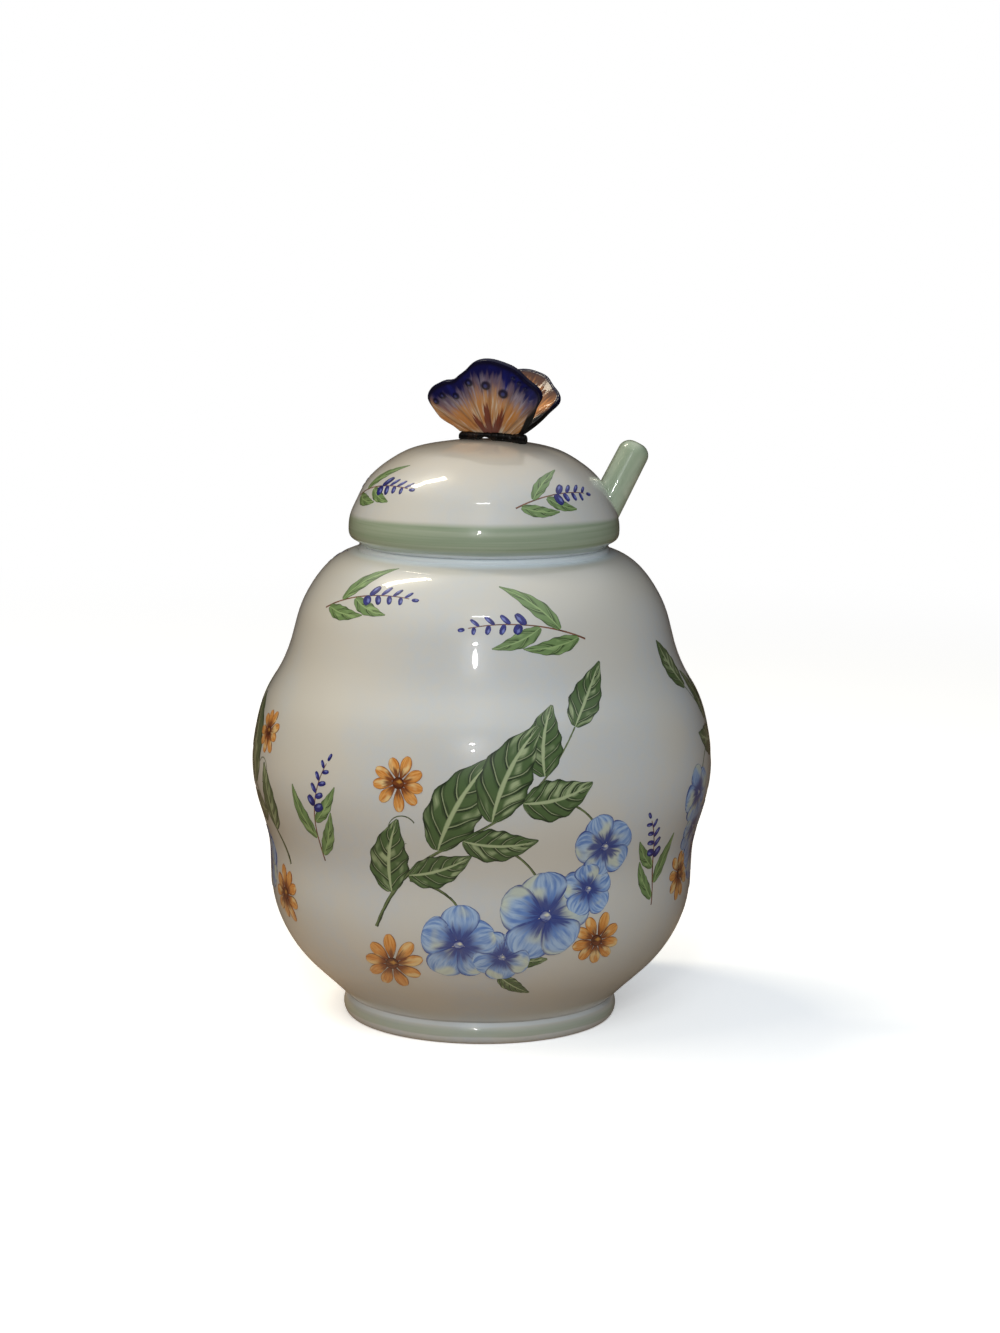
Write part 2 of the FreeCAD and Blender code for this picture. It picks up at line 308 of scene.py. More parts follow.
# %% Make the world and the floor
world_light = (0.79, 0.86, 0.94, 1.0)
world_strength = 0.19
plain_white = (1.0, 1.0, 1.0, 1.0)
floor_size = 3.0
sheet_radius = 0.10
sheet_fade = 0.75
floor_veil = 0.30
floor_boost = 1.9
table_light = (0.50, 0.40, 0.30, 1.0)
table_dark = (0.44, 0.34, 0.25, 1.0)
table_grain = 900.0

bpy.context.scene.view_settings.view_transform = "Standard"


def who_looks(recipe):
    """1 for the camera and for the rays of a mirror or of clear glass, 0 for the rest. The second
    is 1 for the camera alone."""
    rays = recipe.add("LightPath").outputs
    camera_alone = Tone(recipe, rays["Is Camera Ray"])
    mirrors = Tone(recipe, rays["Is Glossy Ray"]) | rays["Is Transmission Ray"]
    return camera_alone | mirrors, camera_alone


world = bpy.data.worlds.new("room")
bpy.context.scene.world = world
room = Recipe(world)
dim = room.tree.nodes["Background"]
dim.inputs["Color"].default_value = world_light
dim.inputs["Strength"].default_value = world_strength
white = room.add("Background")
white.inputs["Color"].default_value = plain_white
room.surface(who_looks(room)[0], dim, white)

half = floor_size / 2
floor_corners = [(-half, -half, 0), (half, -half, 0), (half, half, 0), (-half, half, 0)]
floor_mesh = bpy.data.meshes.new("floor")
floor_mesh.from_pydata(floor_corners, [], [(0, 1, 2, 3)])
put_in_scene("floor", floor_mesh)

sheet = Finish("floor_sheet")
anyone, camera_alone = who_looks(sheet)
boosted = (floor_boost, floor_boost, floor_boost, 1.0)
table = sheet.layered(table_light, (sheet.noise(table_grain), table_dark), (camera_alone, boosted))
matt = sheet.add("BsdfDiffuse")
sheet.put(matt.inputs["Color"], table)
far_off = sheet.distance(sheet.place()).edge(sheet_radius, sheet_fade)
sheet.surface(far_off * anyone | camera_alone * floor_veil, matt, sheet.add("Emission"))
floor_mesh.materials.append(sheet.material)
print("floor of", floor_size, "m, white beyond", sheet_fade, "m")

# %% [markdown]
# A white pot before a white ground loses its edge, because glaze mirrors whatever lies behind it
# there. Photographers lay and hang dark cloth round the table, just out of the picture, and the
# gloss then draws the edge with it. This cloth lies round the pot, stands up in a wall and leans
# in over the top like a tent. It is seen only in the gloss: it takes no light away and doesn't
# show to the camera. It thins out towards the pot and upwards, so that no hard line is drawn.

# %% Hang the dark cloth
cloth_outline = [(0.04, 1.0 * mm), (1.45, 1.0 * mm), (1.45, 1.50), (0.90, 1.90), (0.02, 2.00)]
cloth_folds = 64
cloth_near = (0.04, 0.12)
cloth_up = (2.30, 0.70)

turns = [math.tau * i / cloth_folds for i in range(cloth_folds)]
corners = [(r * math.cos(t), r * math.sin(t), level) for r, level in cloth_outline for t in turns]
lengths = []
for row in range(len(cloth_outline) - 1):
    for i in range(cloth_folds):
        here, following = row * cloth_folds + i, row * cloth_folds + (i + 1) % cloth_folds
        lengths.append((here, here + cloth_folds, following + cloth_folds, following))
cloth_mesh = bpy.data.meshes.new("dark_cloth")
cloth_mesh.from_pydata(corners, [], lengths)
cloth = put_in_scene("dark_cloth", cloth_mesh)
cloth.visible_camera = False
cloth.visible_diffuse = False
cloth.visible_shadow = False

brown_cloth = Finish("brown_cloth")
weave = brown_cloth.noise(3.0, 2.0)
brown_cloth.coloured(colour(104, 82, 60), (weave, colour(62, 50, 42)))
brown_cloth.shader.inputs["Roughness"].default_value = 0.95
from_axis = brown_cloth.distance(brown_cloth.place(1.0, 1.0, 0.0)).edge(*cloth_near)
upwards = brown_cloth.parts(brown_cloth.place())[2].edge(*cloth_up)
brown_cloth.put(brown_cloth.shader.inputs["Alpha"], from_axis * upwards)
cloth_mesh.materials.append(brown_cloth.material)
print("cloth from", cloth_outline[0][0], "m out to", cloth_outline[1][0], "m")

# %% [markdown]
# ## The off-white glaze
# A porcelain glaze is not one white. Noise clouds it between a warmer and a cooler white. It
# carries a few specks of iron, and its surface keeps a ripple from the melt that only the
# highlights show. The clay shows bare where the pot stood in the kiln. Noise in the object's own
# space does all of that, so nothing depends on the view. The pale blue strips on the collar, above
# the foot band and on the lid's rim stand for thin glaze and are also painted light, and the cream
# on the lid's top is painted warm light. Both are laid on with the bands below.

# %% Mix the off-white glaze
warm_white = colour(204, 201, 192)
cool_white = colour(196, 200, 202)
iron_speck = colour(150, 96, 92)
bare_clay = colour(214, 208, 196)
seam_brown = colour(104, 84, 66)
# pale blue of thin glaze, also used as painted light on the collar, above the foot band and on the lid's
# rim
thin_glaze_and_painted_light_blue = colour(214, 222, 226)
# painted warm light: a cream for the lid's top
painted_warm_light_cream = colour(200, 187, 167)
glaze_line = 0.1 * mm
bare_roughness = 0.45
ripple_depth = 0.15 * mm


def off_white(name, bare_height, bare_depth):
    """The glaze, and bare clay within bare_depth below bare_height. Gives the finish, its colour
    and the height of the point that is shaded."""
    finish = Finish(name)
    clouds = finish.noise(34.0, 3.0, 0.4).edge(0.35, 0.68)
    cloudy = finish.layered(cool_white, (clouds, warm_white))
    fine = finish.noise(620.0, 3.0).edge(0.30, 0.75)
    specks = finish.add("TexVoronoi")
    finish.put(specks.inputs["Vector"], finish.place())
    specks.inputs["Scale"].default_value = 70.0
    rare = finish.parts(specks.outputs["Color"])[0].edge(0.90, 0.905)
    dot = Tone(finish, specks.outputs["Distance"]).edge(0.030, 0.016)
    height = finish.parts(finish.place())[2]
    bare_from = bare_height - bare_depth
    bare = (height.edge(bare_height + glaze_line, bare_height - glaze_line)
            * height.edge(bare_from - glaze_line, bare_from + glaze_line))
    body = finish.layered(
        cloudy,
        (fine, finish.layered(cloudy, (0.5, warm_white))),
        (rare * dot, iron_speck),
        (bare, bare_clay),
    )
    finish.relief(finish.noise(120.0, 2.0), ripple_depth, 0.025)
    finish.glassy()
    finish.put(finish.shader.inputs["Coat Weight"], bare.edge(1.0, 0.0))
    finish.put(finish.shader.inputs["Roughness"], bare * bare_roughness + body_roughness)
    return finish, body, height


print("off-white glaze, bare clay within", round(glaze_line / mm, 1), "mm of a line")

# %% [markdown]
# ## The brushed bands
# The lid and the foot each have a sage band, put on with a loaded brush while the piece turns on
# a wheel. Such a band has soft edges that wander a little, and streaks that run round with the
# brush. Noise that is stretched along the turn gives the streaks. The lid's band is not quite
# level: it stands higher at the front. The foot's band is thin, and the glaze pales over it.

# %% Brush the bands
sage = colour(157, 170, 148)
deep_sage = colour(133, 151, 125)
pale_sage = colour(178, 187, 168)
band_softness = 0.45 * mm
band_wander = 0.9 * mm


def brushed(finish, height, low, high, tilt, load):
    """A coat from low to high, tilted so that the front of it is that much higher. The load is
    the share of paint on the brush."""
    east, north, _ = finish.parts(finish.place())
    towards = east * backwards.x + north * backwards.y
    level = height + towards * -tilt + finish.noise(55.0) * band_wander
    lower = level.edge(low, low + band_softness)
    upper = level.edge(high + 2 * band_softness, high - band_softness)
    streaks = finish.noise(1.0, 3.0, where=finish.place(22.0, 22.0, 1700.0)).edge(0.25, 0.80)
    pale = finish.noise(1.0, 2.0, where=finish.place(12.0, 12.0, 520.0)).edge(0.48, 0.80)
    paint = finish.layered(deep_sage, (streaks, sage), (pale * 0.55, pale_sage))
    return lower * upper * load, paint


print("bands end within", round(band_softness / mm, 2), "mm")

# %% [markdown]
# Foot and pot meet in a fine line where the glaze breaks to brown. All these heights are measured
# in the solids' own space, so the lid takes its band and the painted light on its rim along when it is
# lifted.

# %% Glaze the pot and the lid
collar_top = 103.6 * mm
pot_bare = (0.4 * mm, 2.0 * mm)
lid_bare = (collar_top + 0.25 * mm, 6.0 * mm)
lid_band = (103.9 * mm, 110.3 * mm)
lid_band_tilt = 0.030
foot_band = (1.9 * mm, 3.6 * mm)
foot_joint = 5.15 * mm
joint_wander = 0.5 * mm
joint_width = (0.42 * mm, 0.08 * mm)
# heights of the painted light strips: on the collar, above the foot band and on the lid's rim
collar_painted_light = (101.8 * mm, 102.4 * mm)
foot_painted_highlight = (3.6 * mm, 4.1 * mm)
foot_painted_highlight_end = (5.0 * mm, 4.4 * mm)
lid_rim_painted_light = (105.0 * mm, 104.2 * mm)
# heights over which the lid's top takes the painted warm light
lid_top_painted_light = (114.0 * mm, 124.0 * mm)

glaze, body, height = off_white("off_white_pot_glaze", *pot_bare)
off_joint = abs(height + glaze.noise(120.0) * joint_wander - foot_joint)
glaze.coloured(
    body,
    brushed(glaze, height, *foot_band, 0.0, 0.60),
    (off_joint.edge(*joint_width) * 0.35, seam_brown),
    # painted light: a pale blue strip on the collar
    (height.edge(*collar_painted_light), thin_glaze_and_painted_light_blue),
    # painted highlight: a pale blue ring above the foot band
    (height.edge(*foot_painted_highlight) * height.edge(*foot_painted_highlight_end) * 0.6, thin_glaze_and_painted_light_blue),
)
dress(nodes["pot_body"], glaze)

glaze, body, height = off_white("off_white_lid_glaze", *lid_bare)
glaze.coloured(
    body,
    # painted light: the lid's rim, under its overhang, is made pale blue
    (height.edge(*lid_rim_painted_light), thin_glaze_and_painted_light_blue),
    # painted warm light: the lid's top is tinted cream
    (height.edge(*lid_top_painted_light) * 0.6, painted_warm_light_cream),
    brushed(glaze, height, *lid_band, lid_band_tilt, 0.96),
)
dress(nodes["lid"], glaze)
print("bands from", foot_band, "and", lid_band)

# %% [markdown]
# ## The dipper's green glaze
# The dipper is dipped, not brushed: a thin celadon that breaks pale on the edges of its rings
# and runs darker in its grooves and down its length. A noise that is stretched along the
# handle's own axis stands in for the run, and the tip is painted a darker green, a painted shade.

# %% Glaze the dipper
celadon = colour(180, 193, 170)
deep_celadon = colour(154, 170, 144)
pale_celadon = colour(194, 202, 180)
run_across = 260.0
run_along = 34.0
# where the painted shade at the tip begins and where it is full
tip_shade_starts = 4.0 * mm
tip_shade_full = 0.5 * mm


def mesh_rows(mesh, what="co"):
    """The points of a mesh, or their normals, as rows of three numbers."""
    rows = np.empty(len(mesh.vertices) * 3)
    mesh.vertices.foreach_get(what, rows)
    return rows.reshape(-1, 3)


def spread_axes(points):
    """The directions in which points spread most, second most and least."""
    return np.linalg.svd(points - points.mean(axis=0), full_matrices=False)[2]


handle_points = mesh_rows(nodes["dipper_handle"].data)
handle_axis = spread_axes(handle_points)[0]
handle_axis = handle_axis * np.sign(handle_axis[2])
handle_side = np.cross(handle_axis, (0.0, 1.0, 0.0))
handle_end = (handle_points @ handle_axis).max()

glaze = Finish("celadon_dipper_glaze")
east, north, height = glaze.parts(glaze.place())


def measured_along(way):
    """How far a point of the dipper lies along a direction in the handle's upright plane."""
    return east * float(way[0]) + height * float(way[2])


up_the_handle = measured_along(handle_axis)
runs = glaze.noise(1.0, 3.0, 0.3, where=(measured_along(handle_side) * run_across, north * run_across,
                                         up_the_handle * run_along))
glaze.coloured(
    deep_celadon,
    (runs.edge(0.32, 0.66), celadon),
    # painted shade: the tip darkened
    (up_the_handle.edge(handle_end - tip_shade_starts, handle_end - tip_shade_full) * 0.8, deep_celadon),
    (glaze.noise(150.0, 2.0).edge(0.55, 0.80), pale_celadon),
)
glaze.relief(glaze.noise(420.0, 2.0), 0.1 * mm, 0.12)
glaze.glassy()
for name in ("dipper_handle", "dipper_head"):
    dress(nodes[name], glaze)
print("the dipper leans", round(math.degrees(math.acos(handle_axis[2])), 1), "degrees")

# %% [markdown]
# ## Measuring the walls
# The sprays are painted on walls that swell and draw in, so a flat picture would tear away from
# them. Instead each wall's outline is measured once with rays that are shot at the pot's axis.
# A stroke's points are then given on a flat sheet, in millimetres, and wrapped on: across the
# sheet is the way round the pot and up the sheet is the way along its outline.

# %% Measure the walls
front_angle = math.radians(-105.0)
wall_rays = 420
ray_length = 200.0 * mm
smoothing = 15


class Wall:
    """The outer wall of a turned piece, as tables against the way along its outline: radius,
    height, and how much the wall faces outward and upward."""

    def __init__(self, name, heart_height, low, high):
        tree = BVHTree.FromObject(nodes[name], bpy.context.evaluated_depsgraph_get())
        heart = Vector((0, 0, heart_height))
        outline = []
        for slope in np.linspace(math.radians(low), math.radians(high), wall_rays):
            level = math.cos(slope)
            way = Vector((math.cos(front_angle) * level, math.sin(front_angle) * level, math.sin(slope)))
            hit = tree.ray_cast(heart + way * ray_length, -way)[0]
            outline.append((math.hypot(hit.x, hit.y), hit.z))
        self.radii, self.heights = np.array(outline).T
        steps = np.hypot(np.diff(self.radii), np.diff(self.heights))
        self.ways = np.concatenate([[0.0], np.cumsum(steps)])
        window = np.ones(smoothing) / smoothing
        self.out = np.convolve(np.gradient(self.heights, self.ways), window, "same")
        self.up = np.convolve(-np.gradient(self.radii, self.ways), window, "same")

    def way_at(self, height):
        """How far along the outline a height is. The outline only climbs, so it has one answer."""
        return float(np.interp(height, self.heights, self.ways))

    def wrapped(self, angle, way, sheet, lift):
        """Points of the flat sheet wrapped on the wall round a place given by angle and way, and
        the direction in which the wall faces at each."""
        radius, height, out, up = [np.interp(way + sheet[:, 1], self.ways, table) for table in
                                   (self.radii, self.heights, self.out, self.up)]
        turn = angle + sheet[:, 0] / radius
        radius = radius + lift * out
        points = np.column_stack([np.cos(turn) * radius, np.sin(turn) * radius, height + lift * up])
        facing = np.column_stack([np.cos(turn) * out, np.sin(turn) * out, up])
        return points, facing / np.linalg.norm(facing, axis=1)[:, None]


pot_wall = Wall("pot_body", 55.0 * mm, -62.0, 58.0)
lid_wall = Wall("lid", collar_top, 3.0, 84.0)
print("outlines of", round(pot_wall.ways[-1] / mm, 1), "and", round(lid_wall.ways[-1] / mm, 1), "mm")

# %% [markdown]
# ## Strokes of paint
# The decoration lies under the glaze on the real pot, so it must follow the wall and never stand
# off it. A texture would do that, but it would be a picture, fixed to one size. Here each stroke
# is a thin skin of its own, about a fifth of a millimetre proud at most, whose edges dip under
# the glaze. Strokes that cross lie in layers, each a hair higher than the last, so that no two
# fight for one place. A skin is closed underneath, so it stays a solid thing in the exported
# meshes too. It is shaded with the wall's own directions, so that the gloss runs over wall and
# paint unbroken. It also carries how far along and how far across the stroke a point is, and its
# paint shades itself from these.

# %% Lay strokes as thin skins
sunk = -0.08 * mm
underside = -0.128 * mm
skin = 0.03 * mm
layer_step = 0.012 * mm
layers_between = 7
numbered_strokes = 64
wide_stroke = 0.9 * mm
wide_shares = np.array([-1.0, -0.95, -0.72, -0.48, -0.24, 0.0, 0.24, 0.48, 0.72, 0.95, 1.0])
thin_shares = np.array([-1.0, -0.5, 0.5, 1.0])


def squares(grid):
    """The faces between the rows and columns of a grid of point numbers."""
    sides = [grid[:-1, :-1], grid[:-1, 1:], grid[1:, 1:], grid[1:, :-1]]
    return np.stack([side.ravel() for side in sides], axis=1)


class Painting:
    """The strokes on one wall, gathered by the paint they are made with."""

    def __init__(self, wall, body, slot):
        self.wall = wall
        self.body = body
        self.slot = slot
        self.batches = {}
        self.strokes = 0

    def brush(self, turn, height):
        """A brush for strokes round a place, given in degrees from the front and by its height."""
        spot = front_angle + math.radians(turn), self.wall.way_at(height)
        return lambda *stroke: self.stroke(spot, *stroke)

    def stroke(self, spot, paint, middle, half_widths, layer=0.0):
        """One stroke along a middle line, in millimetres on the sheet round a spot."""
        middle = np.asarray(middle, float) * mm
        half_widths = np.asarray(half_widths, float) * mm
        shares = wide_shares if half_widths.max() > wide_stroke else thin_shares
        rows, columns = len(middle), len(shares)
        along = np.gradient(middle, axis=0)
        along /= np.linalg.norm(along, axis=1)[:, None]
        across = np.column_stack([along[:, 1], -along[:, 0]])
        offsets = half_widths[:, None] * shares[None, :]
        sheet = (middle[:, None, :] + offsets[:, :, None] * across[:, None, :]).reshape(-1, 2)
        inner = np.zeros((rows, columns), bool)
        inner[1:-1, 1:-1] = True
        inside = inner.ravel()
        self.strokes += 1
        lift = skin + (layer + self.strokes % layers_between / layers_between) * layer_step
        top, facing = self.wall.wrapped(*spot, sheet, np.where(inside, lift, sunk))
        under, under_facing = self.wall.wrapped(*spot, sheet[inside], underside)
        above = np.arange(rows * columns).reshape(rows, columns)
        below = above.copy()
        below[inner] = rows * columns + np.arange(inner.sum())
        points, normals, marks, faces = self.batches.setdefault(paint, ([], [], [], []))
        # each stroke adds two blocks of marks, for its top and its underside
        number = len(marks) // 2 % numbered_strokes
        far = np.repeat(np.linspace(0.01, 0.99, rows), columns) + number
        mark = np.column_stack([far, np.tile((shares + 1) / 2, rows)])
        first = sum(map(len, points))
        faces += [squares(above) + first, squares(below)[:, ::-1] + first]
        points += [top, under]
        normals += [facing, under_facing]
        marks += [mark, mark[inside]]

    def finish(self, paints):
        """Makes one mesh for each paint and lets it ride on the wall's body."""
        for paint, batch in self.batches.items():
            points, normals, marks, faces = [np.concatenate(rows) for rows in batch]
            mesh = bpy.data.meshes.new(self.body + "_" + paint)
            mesh.from_pydata(points.tolist(), [], faces.tolist())
            mesh.uv_layers.new(name="stroke").data.foreach_set("uv", marks[faces.ravel()].ravel())
            mesh.shade_smooth()
            mesh.normals_split_custom_set_from_vertices(normals.tolist())
            piece = put_in_scene(mesh.name, mesh)
            dress(piece, paints[paint])
            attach(piece, self.body)
            print(piece.name, len(batch[0]) // 2, "strokes")


pot_painting = Painting(pot_wall, "pot", "pot_glaze")
lid_painting = Painting(lid_wall, "lid", "lid_glaze")
print("thin skins, the lowest", round(skin / mm, 3), "mm proud")

# %% [markdown]
# ## Leaves, petals, buds and stems
# A decorator builds a spray from a few strokes learned by heart. Each stroke here is a middle
# line that bends evenly, with a width that swells and closes in its own way: a leaf has its
# widest place early and a sharp point, a petal its widest place late and a blunt tip. Lengths and
# widths are in millimetres and headings in radians, as on a sheet of paper.

# %% Shape the strokes
long_leaf = 11.0
petal_steps = 200


def bent(start, heading, length, bend, count):
    """A line from start whose heading turns evenly by bend over its length."""
    steps = np.linspace(0.0, 1.0, count)
    headings = heading + bend * (steps - 0.5 / count)
    moves = np.column_stack([np.cos(headings), np.sin(headings)]) * (length / (count - 1))
    return np.asarray(start, float) + np.concatenate([[(0.0, 0.0)], np.cumsum(moves[:-1], axis=0)])


def swept(points, count):
    """A smooth line drawn between the first and the last of four points, pulled by the others."""
    t = np.linspace(0.0, 1.0, count)[:, None]
    a, b, c, d = [np.asarray(p, float) for p in points]
    return a * (1 - t) ** 3 + 3 * b * t * (1 - t) ** 2 + 3 * c * t ** 2 * (1 - t) + d * t ** 3


def leaf(brush, start, heading, length, width, bend, paint="leaf_green", layer=1.0):
    count = 26 if length > long_leaf else 16
    steps = np.linspace(0.0, 1.0, count)
    lobes = 1 + 0.06 * np.sin(steps * 30.0 + length)
    widths = 0.5 * width * np.sin(np.pi * steps ** 0.72) ** 1.02 * lobes + 0.03
    brush(paint, bent(start, heading, length, bend, count), widths, layer)


def petal(brush, start, heading, length, width, paint, layer):
    steps = np.linspace(0.0, 1.0, 13) ** 0.85
    widths = 0.5 * width * np.sin(np.pi * np.clip(steps, 0.004, 0.996) ** 1.55) ** 0.62 + 0.02
    middle = bent(start, heading, length, 0.16, petal_steps)
    brush(paint, middle[(steps * (petal_steps - 1)).astype(int)], widths, layer)


def oval(brush, start, heading, length, width, paint, layer, count=9, blunt=0.8):
    turn = np.linspace(0.0, np.pi, count)
    way = np.array([math.cos(heading), math.sin(heading)])
    middle = np.asarray(start) + np.outer((1 - np.cos(turn)) / 2 * length, way)
    brush(paint, middle, 0.5 * width * np.sin(turn) ** blunt + 0.01, layer)


def disc(brush, centre, radius, paint, layer):
    oval(brush, (centre[0] - radius, centre[1]), 0.0, 2 * radius, 2 * radius, paint, layer, 11, 1.0)


def stem(brush, line, thick, thin, paint="stem_green"):
    brush(paint, line, np.linspace(thick, thin, len(line)) / 2)


print("strokes: leaf, petal, oval, disc and stem")

# %% [markdown]
# ## Blossoms and sprigs
# The strokes join into motifs. A blossom is five broad petals that overlap, each laid a hair
# above the last. A daisy is nine slim ones. A sprig is a bent stem with a spike of small dark
# buds and a few leaflets. A tendril is a stem that curls up. A seeded random generator makes
# every one a little different and the same in each run.

# %% Build the small motifs
hand = random.Random(7)
blossom_petals = 5
daisy_petals = 9
sprig_bend = 0.7
sprig_steps = 26
sprig_buds = 9
spike_starts = 0.52
bud_length = 2.9
bud_shrinks = 1.2


def off_centre(centre, heading, reach):
    return centre[0] + reach * math.cos(heading), centre[1] + reach * math.sin(heading)


def blossom(brush, centre, size):
    first = hand.uniform(0, math.tau)
    for i in range(blossom_petals):
        heading = first + i * math.tau / blossom_petals + hand.uniform(-0.08, 0.08)
        reach = size * hand.uniform(0.90, 1.04)
        width = size * hand.uniform(0.98, 1.10)
        root = off_centre(centre, heading, 0.05 * size)
        petal(brush, root, heading, reach, width, "petal_blue", 6.0 + i * 1.3)
    disc(brush, centre, size * 0.13, "heart_cream", 14.0)


def daisy(brush, centre, size):
    first = hand.uniform(0, math.tau)
    for i in range(daisy_petals):
        heading = first + i * math.tau / daisy_petals + hand.uniform(-0.07, 0.07)
        reach = size * hand.uniform(0.82, 0.98)
        root = off_centre(centre, heading, 0.12 * size)
        petal(brush, root, heading, reach, size * 0.42, "petal_orange", 6.0 + i % 3)
    disc(brush, centre, size * 0.22, "heart_brown", 11.0)


def sprig(brush, heading, length, flip):
    """A bent stem with a spike of buds at its end and leaflets on its way."""
    line = bent((0.0, 0.0), heading, length, sprig_bend * flip, sprig_steps)
    stem(brush, line, 0.62, 0.30, "stem_brown")
    for share, side, size in ((0.10, 1, 0.50), (0.24, -1, 0.56), (0.42, 1, 0.46)):
        tilt = heading + sprig_bend * flip * share + side * flip * 0.75
        root = line[int(share * (sprig_steps - 1))]
        leaf(brush, root, tilt, length * size, length * size * 0.27, -0.5 * side * flip, "leaf_light")
    for i in range(sprig_buds):
        up_spike = i / (sprig_buds - 1)
        share = spike_starts + (1 - spike_starts) * up_spike
        side = 0 if i == sprig_buds - 1 else 1 if i % 2 else -1
        size = bud_length - bud_shrinks * up_spike
        tilt = heading + sprig_bend * flip * share + side * 0.95
        root = line[int(share * (sprig_steps - 1))]
        oval(brush, root, tilt, size * hand.uniform(0.92, 1.08), size * 0.66, "bud_blue", 2.0 + i % 3)


def tendril(brush, start, heading, length, flip):
    stem(brush, bent(start, heading, length, 4.6 * flip, 40), 0.42, 0.20)


print("small motifs: blossom, daisy, sprig and tendril")

# %% [markdown]
# A spray is a branch that sweeps across the wall with leaves to both sides, twigs to its
# blossoms, daisies and tendrils round it. All its places are points on a sheet of paper, in
# millimetres at full size, so that a mirrored or smaller spray comes from the same lists.

# %% Build the spray
branch_pulls = [(-21, -17), (-13, 6), (4, -2), (15, 22)]
branch_steps = 48
twigs = [
    # where it ends, where it is pulled to, and the share of the branch where it leaves
    ((9.5, -12.5), (8, 0), 0.50), ((-5, -19.5), (-2, -8), 0.20), ((19.5, -1), (18, 9), 0.76),
]
branch_leaves = [
    # share of the branch, side of it, length
    (0.14, 1, 15.5), (0.22, -1, 12.5), (0.37, 1, 20.5), (0.48, -1, 14.5), (0.60, 1, 19.0),
    (0.74, -1, 13.5), (0.84, 1, 13.5), (1.00, 0, 12.5),
]
blossoms = [
    # right, up, size
    (2.0, -20.5, 5.2), (17.5, -8.8, 5.0), (9.5, -13.0, 8.2), (-5.5, -18.0, 7.0), (20.5, -1.0, 6.0),
]
daisies = [(-17.5, -23.0, 5.8), (19.5, -18.5, 5.2), (-16.5, 11.0, 4.8)]


def spray(brush, scale, flip):
    """A branch with leaves to both sides, and blossoms and daisies under and over it."""

    def at(x, y):
        return x * flip * scale, y * scale

    def aim(angle):
        return angle if flip > 0 else math.pi - angle

    branch = swept([at(*pull) for pull in branch_pulls], branch_steps)
    stem(brush, branch, 1.15 * scale, 0.45 * scale)
    for (x, y), pull, root in twigs:
        twig = swept([branch[int(root * (branch_steps - 1))], at(*pull), at(x, y + 3), at(x, y)], 20)
        stem(brush, twig, 0.7 * scale, 0.5 * scale)
    for i, (share, side, length) in enumerate(branch_leaves):
        place = min(int(share * (branch_steps - 1)), branch_steps - 2)
        run = branch[place + 1] - branch[place]
        heading = math.atan2(run[1], run[0]) + side * flip * hand.uniform(0.72, 0.95)
        length = length * scale * hand.uniform(0.94, 1.06)
        leaf(brush, branch[place], heading, length, length * hand.uniform(0.46, 0.54),
             -0.62 * side * flip, "leaf_green", 1.0 + 2.0 * (i // 2 % 3))
    for x, y, size in blossoms:
        blossom(brush, at(x, y), size * scale)
    for x, y, size in daisies:
        daisy(brush, at(x, y), size * scale)
    tendril(brush, at(-13.5, 4.0), aim(2.2), 12.0 * scale, flip)
    tendril(brush, at(15.5, -9.0), aim(-0.4), 13.0 * scale, -flip)
    for x, y, angle in ((1.5, -24.5, -0.9), (2.5, -21.0, -0.2)):
        leaf(brush, at(x, y), aim(angle), 8.0 * scale, 3.2 * scale, 0.4 * flip)


print("a spray has", len(branch_leaves) + 2, "leaves and", len(blossoms), "blossoms")

# %% [markdown]
# ## Laying out the design
# Four sprays stand round the belly, every other one mirrored, with sprigs between them and above
# them. The lid has four sprigs, clear of its notch. The first spray faces the camera. Places are
# an angle round the pot, from the front, and a height on its wall.

# %% Paint the pot and the lid
pot_sprays = [
    # degrees round, height in millimetres, scale, and 1 or -1 for a mirrored one
    (3, 47, 1.2, 1), (93, 54, 1.05, -1), (183, 47, 1.2, 1), (272, 54, 1.05, -1),
]
pot_sprigs = [
    # degrees round, height in millimetres, heading in degrees, length, and 1 or -1 as above
    (33, 88, 155, 27, 1), (-60, 92, 30, 24, -1), (116, 90, 30, 25, -1), (206, 88, 155, 24, 1),
    (-128, 90, 20, 26, 1), (-44, 40, 100, 24, -1), (52, 30, 85, 22, 1), (140, 34, 95, 23, 1),
    (-138, 32, 80, 22, -1),
]
lid_sprigs = [
    # the same, with the height above the collar
    (13, 10.5, 26, 20, -1), (150, 11, 28, 21, -1), (-136, 11, 24, 20, -1), (-82, 10.5, 30, 20, -1),
]

for turn, height, scale, flip in pot_sprays:
    spray(pot_painting.brush(turn, height * mm), scale, flip)
for painting, base, sprigs in ((pot_painting, 0.0, pot_sprigs), (lid_painting, collar_top, lid_sprigs)):
    for turn, height, heading, length, flip in sprigs:
        sprig(painting.brush(turn, base + height * mm), math.radians(heading), length, flip)
print(pot_painting.strokes, "strokes on the pot,", lid_painting.strokes, "on the lid")

# %% [markdown]
# ## The paints
# Every paint reads where it is on its stroke. A leaf has a pale midrib and side veins that slant
# to the tip, dark valleys between them, dry streaks and a dark edge. A petal runs from a dark
# throat, in fine streaks, to a pale middle and a thin darker rim. All of them lie under the same
# clear glass as the wall.

